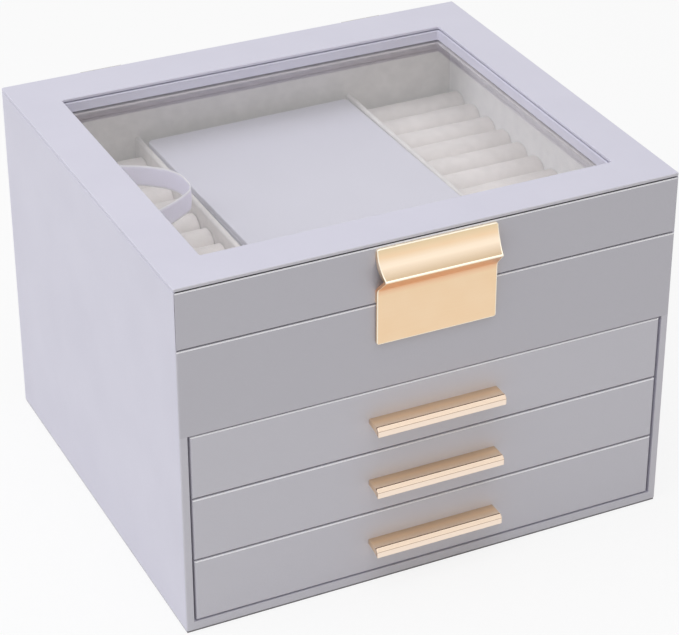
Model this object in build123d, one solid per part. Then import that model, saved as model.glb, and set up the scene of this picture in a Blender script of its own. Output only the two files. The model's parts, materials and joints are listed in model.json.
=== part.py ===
"""Tiered jewellery box: a covered case with three drawers, ring rolls, a lift-out travel case and a glass lid."""

import os
from math import atan2, cos, hypot, sin, tan

from build123d import *

# Outside of the box, in millimetres. The origin is the middle of the underside, x to the right, y to the back.
box_width = 260.0
box_depth = 231.5
box_height = 188.0

# Covered boards
wall_thick = 4.0
base_thick = 4.8
sheet_thick = 0.9
sheet_inset = 0.5
corner_round = 1.0
edge_round = 0.6
small_round = 0.5
near = 0.01

half_width = box_width / 2
front_y = -box_depth / 2
back_y = box_depth / 2
base_top = sheet_thick + base_thick
inner_x = half_width - wall_thick
front_in = front_y + wall_thick
back_in = back_y - wall_thick

# Lid
plate_thick = 1.5
plate_top_round = 0.4
plate_low_round = 0.3
lid_gap = 0.3
lid_strip_height = 29.9
parting_gap = 0.7
mitre_gap = 0.3
strip_round = 0.9
frame_thick = 5.9
frame_side_gap = 0.6
frame_lead = 0.5
seam_gap = 0.6
seam_depth = 1.5
seam_round = 0.6
window_side = 22.75
window_front = 24.3
window_back = 27.6
window_round = 1.0

plate_z = box_height - plate_thick
wall_top = plate_z - lid_gap
lid_strip_z = plate_z - lid_strip_height
parting_z = lid_strip_z - parting_gap
lid_strip_thick = wall_thick - lid_gap
lid_strip_in = front_y + lid_strip_thick
frame_z = plate_z - frame_thick
seam_z = plate_z - seam_gap
window_x = half_width - window_side
window_y0 = front_y + window_front
window_y1 = back_y - window_back

# Glass and the velvet ring that holds it
glass_thick = 1.5
glass_lap = 6.0
glass_gap = 0.2
retainer_rim = 5.0
retainer_thick = 0.8
retainer_inset = 1.0

glass_z = frame_z - glass_thick
retainer_z = glass_z - retainer_thick

# Drawers, counted from the top
drawer_count = 3
front_height = 33.9
front_gap = 0.7
front_side_gap = 1.3
front_round = 1.0
front_thick = 4.0
tray_wall = 3.0
tray_floor = 2.4
tray_height = 30.8
tray_side_gap = 0.7
tray_back_gap = 2.0
tray_lift = 0.1
pad_thick = 1.2
pad_gap = 0.2
drawer_divider_thick = 2.0
drawer_divider_height = 22.0
column_counts = (4, 3, 2)
row_counts = (3, 2, 1)

front_pitch = front_height + front_gap
opening_top = base_top + front_gap + drawer_count * front_pitch
tray_x = inner_x - tray_side_gap
tray_y0 = front_y + front_thick
tray_y1 = back_in - tray_back_gap

# Shelves and deck
shelf_thick = 2.5
shelf_front_gap = 0.5
deck_thick = 3.0
deck_drop = 0.1

shelf_y0 = front_y + front_thick + shelf_front_gap
deck_top = opening_top - deck_drop

# Lined upper compartment
inner_wall_thick = 3.0
back_pad_thick = 4.0
lip_height = 7.0
back_pad_drop = 0.4
lining_thick = 0.8
lining_drop = 0.2
divider_thick = 3.0
divider_share = 0.571
divider_round = 1.4
well_width = 120.0
well_shift = 1.2
floor_lining_thick = 0.8

upper_height = retainer_z - deck_top
divider_top = deck_top + upper_height * divider_share
lining_x = inner_x - lining_thick
upper_y0 = front_in + inner_wall_thick
upper_y1 = back_in - back_pad_thick
well_x0 = well_shift - well_width / 2
well_x1 = well_shift + well_width / 2
well_floor = deck_top + floor_lining_thick

# Ring rolls
roll_count = 12
roll_gap = 0.4
roll_end_gap = 2.85
roll_side_gap = 0.3
roll_share = 0.4744
roll_base = 6.0

roll_pitch = (upper_y1 - upper_y0 - roll_end_gap - roll_end_gap + roll_gap) / roll_count
roll_width = roll_pitch - roll_gap
roll_radius = roll_width / 2
roll_height = upper_height * roll_share

# Travel case
case_side_gap = 1.6
case_length = 133.2
case_share = 0.5778
case_wall = 2.5
case_lid_thick = 2.8
case_round = 3.0
case_edge = 0.6
case_rest_gap = 0.1
case_back_gap = 7.2
case_turn = 0.9
case_lining = 0.8
cross_gap = 4.0

case_width = well_width - case_side_gap - case_side_gap
case_z = well_floor + case_rest_gap
case_top = well_floor + (retainer_z - well_floor) * case_share
case_split = case_top - case_lid_thick
case_y = upper_y1 - case_back_gap - case_length / 2
cross_y = case_y - case_length / 2 - cross_gap

# Clasp, a bent sheet, with its distances out from the face
clasp_width = 62.6
clasp_sheet = 1.3
clasp_top_drop = 3.0
clasp_top_flat = 2.4
clasp_fold_out = 9.0
clasp_fold_drop = 16.8
clasp_taper = 1.0
clasp_return_drop = 24.2
clasp_foot_drop = 52.9
clasp_stand_off = 0.6
clasp_scoop = 1.6
clasp_round = 1.4
clasp_edge = 0.4
clasp_bend = 4.0

# Clasp screws and magnets
screw_gap = 0.03
clasp_screw_x = 22.0
clasp_screw_rise = 3.8
clasp_screw_radius = 0.8
clasp_screw_head = 1.6
clasp_screw_bite = 1.2
magnet_x = 12.0
magnet_radius = 1.4
magnet_length = 3.0

# Drawer pulls
pull_length = 68.4
pull_flat = 8.7
pull_bevel = 1.5
pull_front = 5.1
pull_root = 2.8
pull_belly = 0.5
pull_rise = 2.1
pull_round = 0.3
pull_edge = 0.25
groove_width = 0.6
groove_depth = 0.8
pull_screw_x = 25.0
pull_screw_radius = 0.9
pull_screw_drop = 1.5
pull_screw_bite = 6.0
pull_screw_head = 2.6
pull_screw_head_thick = 1.4

# Hinges
hinge_x = 75.0
barrel_radius = 1.6
barrel_gap = 0.1
barrel_drop = 1.0
pin_radius = 0.8
bore_gap = 0.05
leaf_thick = 0.8
leaf_height = 10.0
leaf_reach = 12.0
outer_knuckle = 7.0
middle_knuckle = 8.0
knuckle_gap = 0.15
mortise_gap = 0.1
hinge_screw_x = 6.5
hinge_screw_radius = 0.7
hinge_screw_head = 1.4
hinge_screw_length = 3.2
hinge_screw_drop = 6.5
hinge_screw_inset = 8.2

hinge_y = back_y + barrel_radius + barrel_gap
hinge_z = plate_z - barrel_drop
hinge_half = middle_knuckle / 2 + knuckle_gap + outer_knuckle
leaf_z = plate_z - leaf_thick

# Ribbon lid stay: its route as shares of half the inside width, from the left lining, and of the box's depth
ribbon_width = 11.0
ribbon_thick = 0.8
ribbon_rise_share = 0.6263
ribbon_shares = (
    (0.0059, 0.337), (0.0489, 0.285), (0.1361, 0.227), (0.2451, 0.187), (0.3514, 0.151),
    (0.4206, 0.106), (0.436, 0.062), (0.4206, 0.021), (0.3625, -0.0065), (0.2524, -0.0385),
    (0.1444, -0.0575), (0.0738, -0.05), (0.026, -0.0235),
)

roll_top = deck_top + roll_height
ribbon_z = roll_top + (retainer_z - roll_top - ribbon_width) * ribbon_rise_share

LOW = (Align.MIN, Align.MIN, Align.MIN)
UPRIGHT = (Align.CENTER, Align.CENTER, Align.MIN)


def block(x0, x1, y0, y1, z0, z1):
    """A box between two planes each way."""
    return Pos(x0, y0, z0) * Box(x1 - x0, y1 - y0, z1 - z0, align=LOW)


def rounded(x0, x1, y0, y1, z0, z1, corner, top, bottom):
    """A box with rounded upright corners, and rounded rims where a rim radius is given."""
    body = block(x0, x1, y0, y1, z0, z1)
    body = fillet(body.edges().filter_by(Axis.Z), corner)
    if top:
        body = fillet(body.edges().group_by(Axis.Z)[-1], top)
    if bottom:
        body = fillet(body.edges().group_by(Axis.Z)[0], bottom)
    return body


def prism(points, z0, z1):
    """An upright prism over a plan outline."""
    return extrude(Pos(0, 0, z0) * Polygon(*points, align=None), z1 - z0, dir=(0, 0, 1))


def rod(start, direction, radius, length, end_radius=None):
    """A round rod from a point along a direction, or a cone where the end radius is given."""
    place = Plane(origin=start, z_dir=direction)
    if end_radius is None:
        return place * Cylinder(radius, length, align=UPRIGHT)
    return place * Cone(radius, end_radius, length, align=UPRIGHT)


def screw(start, direction, radius, length, head, spread=0.0):
    """A countersunk screw from the middle of its head; the spread makes the hole it sits in."""
    shank = rod(start, direction, radius + spread, length + spread)
    return shank + rod(start, direction, head + spread, head - radius, radius + spread)


def save(node, shape):
    """One node of the box."""
    export_step(shape, f"parts/{node}.step")


# Case boards
outer = rounded(-half_width, half_width, front_y, back_y, sheet_thick, wall_top, corner_round, edge_round, edge_round)


def side_wall(side):
    """A side, square at the drawers and mitred above them and at the back."""
    out = side * half_width
    inside = side * inner_x
    low = prism(((out, front_y), (inside, front_y), (inside, back_in), (out, back_y)), base_top, opening_top)
    high = prism(((out, front_y), (inside, front_in), (inside, back_in), (out, back_y)), opening_top, wall_top)
    return (low + high) & outer


def back_wall():
    """The back, mitred at both ends, with its hinge mortises and screw holes."""
    outline = ((-half_width, back_y), (-inner_x, back_in), (inner_x, back_in), (half_width, back_y))
    wall = prism(outline, base_top, wall_top) & outer
    for side in (-1, 1):
        middle = side * hinge_x
        reach = hinge_half + mortise_gap
        wall -= block(middle - reach, middle + reach, back_in, back_y, leaf_z - mortise_gap, wall_top)
    for hole in case_screws(screw_gap):
        wall -= hole
    return wall


def front_strip():
    """The fixed band over the drawers, mitred at both ends, with two magnet holes in its top."""
    outline = ((-half_width, front_y), (-inner_x, front_in), (inner_x, front_in), (half_width, front_y))
    shape = rounded(-half_width, half_width, front_y, back_y, base_top, parting_z, corner_round, strip_round, 0)
    strip = prism(outline, opening_top, parting_z) & shape
    for side in (-1, 1):
        strip -= rod((side * magnet_x, magnet_y, parting_z), (0, 0, -1), magnet_radius, magnet_length)
    return strip


magnet_y = front_y + lid_strip_thick / 2


def magnets(z, direction):
    """A pair of round magnets."""
    pair = [rod((side * magnet_x, magnet_y, z), direction, magnet_radius, magnet_length) for side in (-1, 1)]
    return Compound(children=pair)


def shelf(top):
    """A shelf between two drawers."""
    return block(-inner_x, inner_x, shelf_y0, back_in, top - shelf_thick, top)


# Lined upper compartment
def topped(x0, x1, y0, y1, z0, z1, radius, axis):
    """A board with its two long top edges rounded."""
    board = block(x0, x1, y0, y1, z0, z1)
    return fillet(board.edges().group_by(Axis.Z)[-1].filter_by(axis), radius)


def ring_rolls(x0, x1):
    """Twelve upright rolls side by side on a common base."""
    last = upper_y1 - roll_end_gap
    first = last - roll_count * roll_pitch + roll_gap
    rolls = block(x0, x1, first, last, deck_top, deck_top + roll_base)
    for index in range(roll_count):
        y0 = first + index * roll_pitch
        crown_z = deck_top + roll_height - roll_radius
        rolls += block(x0, x1, y0, y0 + roll_width, deck_top + roll_base, crown_z)
        rolls += rod((x0, y0 + roll_radius, crown_z), (1, 0, 0), roll_radius, x1 - x0)
    return rolls


# Travel case
case_place = Pos(well_shift, case_y, 0) * Rot(0, 0, case_turn)


def travel_case_shell(z0, z1, top, bottom):
    """An outside block of the travel case."""
    half = case_width / 2
    length = case_length / 2
    return rounded(-half, half, -length, length, z0, z1, case_round, top, bottom)


def travel_case_base():
    """The travel case's open base."""
    half = case_width / 2 - case_wall
    length = case_length / 2 - case_wall
    inside = block(-half, half, -length, length, case_z + case_wall, case_split)
    return case_place * (travel_case_shell(case_z, case_split, case_edge, case_edge) - inside)


def travel_case_lining():
    """The velvet floor of the travel case."""
    half = case_width / 2 - case_wall - pad_gap
    length = case_length / 2 - case_wall - pad_gap
    floor = case_z + case_wall
    return case_place * block(-half, half, -length, length, floor, floor + case_lining)


# Lid
def window(z0, z1, inset=0.0):
    """The window as a solid, to cut out."""
    x = window_x - inset
    return rounded(-x, x, window_y0 + inset, window_y1 - inset, z0, z1, window_round, 0, 0)


def lid_top_plate():
    """The lid's top sheet round the window."""
    plate = block(-half_width, half_width, front_y, back_y, plate_z, box_height)
    plate = fillet(plate.edges().filter_by(Axis.Z), corner_round) - window(plate_z, box_height)
    plate = fillet(plate.edges().group_by(Axis.Z)[-1], plate_top_round)
    return fillet(plate.edges().group_by(Axis.Z)[0], plate_low_round)


def lid_frame():
    """The inner frame under the top sheet, with hinge pockets and screw holes."""
    x = lining_x - frame_side_gap
    y1 = back_in - lid_gap
    frame = block(-x, x, lid_strip_in, y1, frame_z, plate_z) - window(frame_z, plate_z, frame_lead)
    frame -= window(seam_z, plate_z, -seam_depth)
    frame = fillet([edge for edge in frame.edges() if on_seam(edge.center())], seam_round)
    for side in (-1, 1):
        middle = side * hinge_x
        reach = hinge_half + mortise_gap
        frame -= block(middle - reach, middle + reach, back_y - leaf_reach - mortise_gap, y1, leaf_z, plate_z)
    for hole in lid_screws(screw_gap):
        frame -= hole
    return frame


def on_seam(point):
    """Whether a point lies within the window, on the ledge under the top sheet."""
    inside = abs(point.X) < window_x and window_y0 < point.Y < window_y1
    return inside and abs(point.Z - seam_z) < near


def lid_front_strip():
    """The band that hangs from the lid's front, with mitred ends, screw holes and magnet holes."""
    out = half_width - mitre_gap
    inside = out - lid_strip_thick
    outline = ((-out, front_y), (-inside, lid_strip_in), (inside, lid_strip_in), (out, front_y))
    shape = rounded(
        -half_width, half_width, front_y, back_y, lid_strip_z, seam_z, corner_round, strip_round, small_round
    )
    strip = prism(outline, lid_strip_z, seam_z) & shape
    strip += prism(outline, seam_z, plate_z) & block(-out, out, front_y + seam_depth, lid_strip_in, seam_z, plate_z)
    for side in (-1, 1):
        strip -= rod((side * magnet_x, magnet_y, lid_strip_z), (0, 0, 1), magnet_radius, magnet_length)
    for hole in clasp_screws(screw_gap):
        strip -= hole
    return strip


def glass_pane():
    """The pane under the frame."""
    x = window_x + glass_lap
    return block(-x, x, window_y0 - glass_lap, window_y1 + glass_lap, glass_z, frame_z)


def glass_retainer():
    """The velvet ring that carries the pane."""
    seat = glass_lap + glass_gap
    rim = seat + retainer_rim
    ring = block(-window_x - rim, window_x + rim, window_y0 - rim, window_y1 + rim, retainer_z, frame_z)
    ring -= block(-window_x - seat, window_x + seat, window_y0 - seat, window_y1 + seat, glass_z, frame_z)
    x = window_x - retainer_inset
    return ring - block(-x, x, window_y0 + retainer_inset, window_y1 - retainer_inset, retainer_z, glass_z)


# Clasp
clasp_top = box_height - clasp_top_drop
fold_z = box_height - clasp_fold_drop
return_z = box_height - clasp_return_drop
foot_z = box_height - clasp_foot_drop
clasp_out = clasp_stand_off + clasp_sheet
fold_in = clasp_fold_out - clasp_sheet - clasp_sheet / 2


def clasp():
    """A sheet that flares out from the lid, folds back in and hangs over the band below."""
    x = -clasp_width / 2
    slope = hypot(clasp_fold_out - clasp_out, fold_z - return_z)
    inner_rise = clasp_sheet * slope / (clasp_fold_out - clasp_out)
    start_z = return_z + clasp_out * (fold_z - return_z) / (clasp_out - clasp_fold_out) + inner_rise
    fold_in_z = start_z + fold_in * (fold_z - return_z) / (clasp_fold_out - clasp_out)
    neck_z = clasp_top - clasp_top_flat
    outer_arc = bow(x, clasp_sheet, clasp_top, clasp_fold_out, fold_z, clasp_scoop)
    inner_arc = bow(x, fold_in, fold_in_z, 0, neck_z - clasp_sheet, -clasp_scoop)
    turn = atan2(clasp_fold_out - clasp_out, fold_z - return_z)
    tangent = clasp_bend * tan(turn / 2)
    bend_start = spot(x, clasp_out + tangent * sin(turn), return_z + tangent * cos(turn))
    bend_end = spot(x, clasp_out, return_z - tangent)
    bend_middle = spot(
        x, clasp_out + clasp_bend * (1 - cos(turn / 2)), return_z - tangent + clasp_bend * sin(turn / 2)
    )
    bend = ThreePointArc(bend_start, bend_middle, bend_end)
    sides = [
        Line(spot(x, 0, clasp_top), spot(x, clasp_sheet, clasp_top)),
        outer_arc,
        Line(spot(x, clasp_fold_out, fold_z), bend_start),
        bend,
        Line(bend_end, spot(x, clasp_out, foot_z)),
        Line(spot(x, clasp_out, foot_z), spot(x, clasp_stand_off, foot_z)),
        Line(spot(x, clasp_stand_off, foot_z), spot(x, clasp_stand_off, lid_strip_z + parting_gap)),
        Line(spot(x, clasp_stand_off, lid_strip_z + parting_gap), spot(x, 0, lid_strip_z + parting_gap)),
        Line(spot(x, 0, lid_strip_z + parting_gap), spot(x, 0, start_z)),
        Line(spot(x, 0, start_z), spot(x, fold_in, fold_in_z)),
        inner_arc,
        Line(spot(x, 0, neck_z - clasp_sheet), spot(x, 0, clasp_top)),
    ]
    sheet = extrude(Face(Wire(sides)), clasp_width, dir=(1, 0, 0))
    cut = block(x, -x, front_y - clasp_fold_out, front_y, foot_z, clasp_top)
    sheet &= fillet(cut.edges().filter_by(Axis.Y), clasp_round)
    sheet = fillet([edge for edge in sheet.edges() if on_show(edge)], clasp_edge)
    tip_x = x + clasp_taper
    tip_y = front_y - clasp_fold_out
    plate_y = front_y - clasp_out - clasp_edge
    outline = ((x, front_y), (x, plate_y), (tip_x, tip_y), (-tip_x, tip_y), (-x, plate_y), (-x, front_y))
    sheet &= prism(outline, foot_z, clasp_top)
    for hole in clasp_screws(screw_gap):
        sheet -= hole
    return sheet


def on_show(edge):
    """Whether an edge of the clasp lies on the rim of its outer side."""
    middle = edge.center()
    out = front_y - middle.Y
    plate = abs(out - clasp_out) < near and middle.Z < return_z - near
    fold = out > clasp_fold_out - near
    top = middle.Z > clasp_top - near and abs(out - clasp_sheet) < near
    scoop = edge.geom_type != GeomType.LINE and middle.Z > fold_z and out > fold_in / 2
    return plate or fold or top or scoop


def spot(x, out, z):
    """A point at a distance out from the front face."""
    return (x, front_y - out, z)


def bow(x, out0, z0, out1, z1, depth):
    """An arc between two points that bows to the left of the way from the first to the second."""
    length = hypot(out1 - out0, z1 - z0)
    middle_out = (out0 + out1) / 2 + depth * (z1 - z0) / length
    middle_z = (z0 + z1) / 2 - depth * (out1 - out0) / length
    return ThreePointArc(spot(x, out0, z0), spot(x, middle_out, middle_z), spot(x, out1, z1))


def clasp_screws(spread=0.0):
    """Two screws through the lid's band into the clasp."""
    z = lid_strip_z + clasp_screw_rise
    length = lid_strip_thick + clasp_screw_bite
    return [
        screw((side * clasp_screw_x, lid_strip_in, z), (0, -1, 0), clasp_screw_radius, length, clasp_screw_head, spread)
        for side in (-1, 1)
    ]


# Drawers
def drawer_front(z0):
    """A drawer's covered front with rounded front edges."""
    x = inner_x - front_side_gap
    front = block(-x, x, front_y, front_y + front_thick, z0, z0 + front_height)
    front = fillet(front.edges().group_by(Axis.Y)[0], front_round)
    for hole in pull_screws(z0, screw_gap):
        front -= hole
    return front


def drawer_tray(z0):
    """A drawer's open tray."""
    floor = z0 - front_gap + tray_lift
    tray = block(-tray_x, tray_x, tray_y0, tray_y1, floor, floor + tray_height)
    inside_x = tray_x - tray_wall
    tray -= block(
        -inside_x, inside_x, tray_y0 + tray_wall, tray_y1 - tray_wall, floor + tray_floor, floor + tray_height
    )
    for hole in pull_screws(z0, screw_gap):
        tray -= hole
    return tray


def drawer_pad(z0):
    """The velvet floor of a drawer."""
    floor = z0 - front_gap + tray_lift + tray_floor
    x = tray_x - tray_wall - pad_gap
    return block(-x, x, tray_y0 + tray_wall + pad_gap, tray_y1 - tray_wall - pad_gap, floor, floor + pad_thick)


def drawer_dividers(z0, column_count, row_count):
    """The lattice that parts a drawer."""
    floor = z0 - front_gap + tray_lift + tray_floor + pad_thick
    x = tray_x - tray_wall - pad_gap
    y0 = tray_y0 + tray_wall + pad_gap
    y1 = tray_y1 - tray_wall - pad_gap
    half = drawer_divider_thick / 2
    lattice = Part()
    for index in range(1, column_count):
        middle = -x + (x + x) * index / column_count
        lattice += block(middle - half, middle + half, y0, y1, floor, floor + drawer_divider_height)
    for index in range(1, row_count):
        middle = y0 + (y1 - y0) * index / row_count
        lattice += block(-x, x, middle - half, middle + half, floor, floor + drawer_divider_height)
    return lattice


def pull_top(z0):
    """The height of a pull's flat top."""
    return z0 + front_height / 2 + pull_rise


def drawer_pull(z0):
    """A solid bar with a flat top, a groove and a bevel along its front edge, and a curved underside."""
    x = -pull_length / 2
    top = pull_top(z0)
    reach = pull_flat + pull_bevel
    sides = [
        Line(spot(x, 0, top), spot(x, pull_flat, top)),
        Line(spot(x, pull_flat, top), spot(x, reach, top - pull_bevel)),
        Line(spot(x, reach, top - pull_bevel), spot(x, reach, top - pull_front)),
        bow(x, reach, top - pull_front, 0, top - pull_root, pull_belly),
        Line(spot(x, 0, top - pull_root), spot(x, 0, top)),
    ]
    pull = extrude(Face(Wire(sides)), pull_length, dir=(1, 0, 0))
    low = [edge for edge in pull.edges().filter_by(Axis.X) if edge.center().Z < top - pull_front + near]
    pull = fillet(low, pull_round)
    pull = chamfer(pull.faces().filter_by(Axis.X).edges(), pull_edge)
    groove_y = front_y - pull_flat
    pull -= block(x, -x, groove_y, groove_y + groove_width, top - groove_depth, top)
    for hole in pull_screws(z0, screw_gap):
        pull -= hole
    return pull


def pull_screws(z0, spread=0.0):
    """Two screws from inside the tray through the front into the pull."""
    z = pull_top(z0) - pull_screw_drop
    start_y = tray_y0 + tray_wall
    length = tray_wall + front_thick + pull_screw_bite
    made = []
    for side in (-1, 1):
        place = (side * pull_screw_x, start_y, z)
        shank = rod(place, (0, -1, 0), pull_screw_radius + spread, length + spread)
        head = rod(place, (0, 1, 0), pull_screw_head, pull_screw_head_thick)
        made.append(shank if spread else shank + head)
    return made


# Hinges
def barrel(x0, x1, radius):
    """A stretch of the hinge line."""
    return rod((x0, hinge_y, hinge_z), (1, 0, 0), radius, x1 - x0)


def case_leaf(middle):
    """The upright leaf on the back of the case, with the two outer knuckles."""
    x0 = middle - hinge_half
    x1 = middle + hinge_half
    leaf = block(x0, x1, back_y, back_y + leaf_thick, hinge_z - leaf_height, hinge_z)
    leaf += barrel(x0, x1, barrel_radius)
    gap = middle_knuckle / 2 + knuckle_gap
    clear = barrel_radius + knuckle_gap
    leaf -= block(middle - gap, middle + gap, back_y, hinge_y + clear, hinge_z - clear, hinge_z + clear)
    leaf -= barrel(x0, x1, pin_radius + bore_gap)
    for hole in case_screws(screw_gap):
        leaf -= hole
    return leaf


def lid_leaf(middle):
    """The flat leaf in the lid, with the middle knuckle."""
    x0 = middle - hinge_half
    x1 = middle + hinge_half
    knuckle = middle_knuckle / 2
    leaf = block(x0, x1, back_y - leaf_reach, hinge_y - barrel_radius - knuckle_gap, leaf_z, plate_z)
    leaf += block(middle - knuckle, middle + knuckle, back_y - leaf_reach, hinge_y, leaf_z, plate_z)
    leaf += barrel(middle - knuckle, middle + knuckle, barrel_radius)
    leaf -= barrel(x0, x1, pin_radius + bore_gap)
    for hole in lid_screws(screw_gap):
        leaf -= hole
    return leaf


def hinge_screws(y, z, direction, spread):
    """Two countersunk screws at each hinge."""
    made = []
    for side in (-1, 1):
        for half in (-1, 1):
            x = side * hinge_x + half * hinge_screw_x
            made.append(
                screw((x, y, z), direction, hinge_screw_radius, hinge_screw_length, hinge_screw_head, spread)
            )
    return made


def case_screws(spread=0.0):
    """The screws of the upright leaves."""
    return hinge_screws(back_y + leaf_thick, hinge_z - hinge_screw_drop, (0, -1, 0), spread)


def lid_screws(spread=0.0):
    """The screws of the flat leaves."""
    return hinge_screws(back_y - hinge_screw_inset, plate_z, (0, 0, -1), spread)


# Ribbon
def ribbon():
    """A strip that stands on its edge in a loop between the case and the lid."""
    points = [((x - 1) * lining_x, y * box_depth) for x, y in ribbon_shares]
    path = Spline(*points)
    steps = len(points) + len(points)
    left = []
    right = []
    for index in range(steps + 1):
        at = path @ (index / steps)
        along = path % (index / steps)
        side = Vector(-along.Y, along.X, 0) * (ribbon_thick / 2)
        left.append(at + side)
        right.append(at - side)
    edges = [Spline(*left), Line(left[-1], right[-1]), Spline(*right), Line(left[0], right[0])]
    face = Face(Wire(edges))
    return Pos(0, 0, ribbon_z) * extrude(face, ribbon_width, dir=(0, 0, 1))


def main():
    """Every node of the box."""
    os.makedirs("parts", exist_ok=True)

    save("bottom_sheet", block(
        sheet_inset - half_width, half_width - sheet_inset, front_y + sheet_inset, back_y - sheet_inset, 0, sheet_thick
    ))
    save("base_board", block(-half_width, half_width, front_y, back_y, sheet_thick, base_top) & outer)
    save("left_wall", side_wall(-1))
    save("right_wall", side_wall(1))
    save("back_wall", back_wall())
    save("front_strip", front_strip())
    save("shelf_1", shelf(base_top + front_pitch + front_pitch))
    save("shelf_2", shelf(base_top + front_pitch))
    save("deck", block(-inner_x, inner_x, shelf_y0, back_in, deck_top - deck_thick, deck_top))
    save("catch_magnets", magnets(parting_z, (0, 0, -1)))

    lip = parting_z + lip_height
    pad_top = frame_z - back_pad_drop
    save("front_inner_wall", topped(-inner_x, inner_x, front_in, upper_y0, deck_top, lip, edge_round, Axis.X))
    save("back_inner_wall", topped(-inner_x, inner_x, upper_y1, back_in, deck_top, pad_top, edge_round, Axis.X))
    lining_top = wall_top - lining_drop
    save("left_lining", block(-inner_x, -lining_x, upper_y0, upper_y1, deck_top, lining_top))
    save("right_lining", block(lining_x, inner_x, upper_y0, upper_y1, deck_top, lining_top))
    save("left_divider", topped(
        well_x0 - divider_thick, well_x0, upper_y0, upper_y1, deck_top, divider_top, divider_round, Axis.Y
    ))
    save("right_divider", topped(
        well_x1, well_x1 + divider_thick, upper_y0, upper_y1, deck_top, divider_top, divider_round, Axis.Y
    ))
    save("cross_divider", topped(
        well_x0, well_x1, cross_y - divider_thick, cross_y, well_floor, divider_top, divider_round, Axis.X
    ))
    save("well_lining", block(well_x0, well_x1, upper_y0, upper_y1, deck_top, well_floor))
    save("ring_rolls_left", ring_rolls(roll_side_gap - lining_x, well_x0 - divider_thick - roll_side_gap))
    save("ring_rolls_right", ring_rolls(well_x1 + divider_thick + roll_side_gap, lining_x - roll_side_gap))

    save("travel_case_base", travel_case_base())
    save("travel_case_lid", case_place * travel_case_shell(case_split, case_top, case_edge, case_edge))
    save("travel_case_lining", travel_case_lining())

    save("lid_top_plate", lid_top_plate())
    save("lid_frame", lid_frame())
    save("lid_front_strip", lid_front_strip())
    save("lid_magnets", magnets(lid_strip_z, (0, 0, 1)))
    save("glass_pane", glass_pane())
    save("glass_retainer", glass_retainer())
    save("clasp", clasp())
    save("clasp_screws", Compound(children=clasp_screws()))

    for number, (column_count, row_count) in enumerate(zip(column_counts, row_counts), 1):
        z0 = base_top + front_gap + (drawer_count - number) * front_pitch
        save(f"drawer_{number}_front", drawer_front(z0))
        save(f"drawer_{number}_tray", drawer_tray(z0))
        save(f"drawer_{number}_pad", drawer_pad(z0))
        save(f"drawer_{number}_dividers", drawer_dividers(z0, column_count, row_count))
        save(f"drawer_{number}_pull", drawer_pull(z0))
        save(f"drawer_{number}_pull_screws", Compound(children=pull_screws(z0)))

    for name, middle in (("left", -hinge_x), ("right", hinge_x)):
        save(f"hinge_{name}_case_leaf", case_leaf(middle))
        save(f"hinge_{name}_lid_leaf", lid_leaf(middle))
    pins = [barrel(middle - hinge_half, middle + hinge_half, pin_radius) for middle in (-hinge_x, hinge_x)]
    save("hinge_pins", Compound(children=pins))
    save("hinge_case_screws", Compound(children=case_screws()))
    save("hinge_lid_screws", Compound(children=lid_screws()))

    save("lid_stay_ribbon", ribbon())


main()
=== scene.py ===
# %% [markdown]
# # A tiered jewellery box
# This lesson dresses a box with a glass lid, ring rolls and three drawers. The solids come in from the
# part's own model, so every board is already in its place. What is left is what the eye reads as real:
# the covering, the velvet, the metal, the pane, the soft rolls and the ribbon.
#
# The size of the model is kept before anything is added, so that the end of the lesson can print it
# beside the dressed size.

import json
import math

import bpy
from mathutils import Matrix, Vector


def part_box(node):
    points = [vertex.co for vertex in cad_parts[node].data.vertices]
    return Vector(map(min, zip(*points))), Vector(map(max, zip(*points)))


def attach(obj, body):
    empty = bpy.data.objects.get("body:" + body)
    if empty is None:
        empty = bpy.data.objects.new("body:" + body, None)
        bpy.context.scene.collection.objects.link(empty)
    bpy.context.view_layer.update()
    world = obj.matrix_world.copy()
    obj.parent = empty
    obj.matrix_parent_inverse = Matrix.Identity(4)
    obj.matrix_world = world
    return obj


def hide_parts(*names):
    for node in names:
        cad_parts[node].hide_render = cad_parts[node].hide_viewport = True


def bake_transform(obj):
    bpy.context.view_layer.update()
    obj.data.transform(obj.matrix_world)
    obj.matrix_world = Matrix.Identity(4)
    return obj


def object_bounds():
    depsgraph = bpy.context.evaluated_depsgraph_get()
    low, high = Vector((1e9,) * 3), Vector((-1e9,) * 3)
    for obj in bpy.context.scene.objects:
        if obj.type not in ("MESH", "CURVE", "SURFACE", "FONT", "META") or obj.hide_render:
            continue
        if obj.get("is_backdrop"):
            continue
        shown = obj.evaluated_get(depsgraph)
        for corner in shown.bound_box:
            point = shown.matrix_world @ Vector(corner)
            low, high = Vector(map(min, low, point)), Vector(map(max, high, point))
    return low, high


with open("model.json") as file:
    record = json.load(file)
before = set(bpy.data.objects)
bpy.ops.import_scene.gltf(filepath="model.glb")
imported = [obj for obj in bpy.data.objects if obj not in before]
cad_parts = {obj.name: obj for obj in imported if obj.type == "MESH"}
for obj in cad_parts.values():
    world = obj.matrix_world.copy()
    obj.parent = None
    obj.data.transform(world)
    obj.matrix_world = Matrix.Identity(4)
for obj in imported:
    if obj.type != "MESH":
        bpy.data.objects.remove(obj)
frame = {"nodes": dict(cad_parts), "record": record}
nodes = frame["nodes"]
scene = bpy.context.scene
cad_low, cad_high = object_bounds()
MM = 0.001


def in_mm(place):
    """A place or size in millimetres, to a tenth, for print."""
    return [round(value / MM, 1) for value in place]


print("solids:", len(nodes), "size in mm:", in_mm(cad_high - cad_low))

# %% [markdown]
# ## The camera
# A camera can be aimed by hand or by a constraint. Here its place and its three angles were worked out
# from the straight edges of the box, so they go in as numbers, and a small function turns them into a
# matrix: the columns are the camera's right side, its top and its back.

# %% Camera
camera_place = Vector((-0.46425, -0.98322, 0.71530))
camera_azimuth, camera_elevation, camera_roll = -25.554, 30.286, -0.068
camera_lens = 129.54
sensor_width = 36


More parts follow.
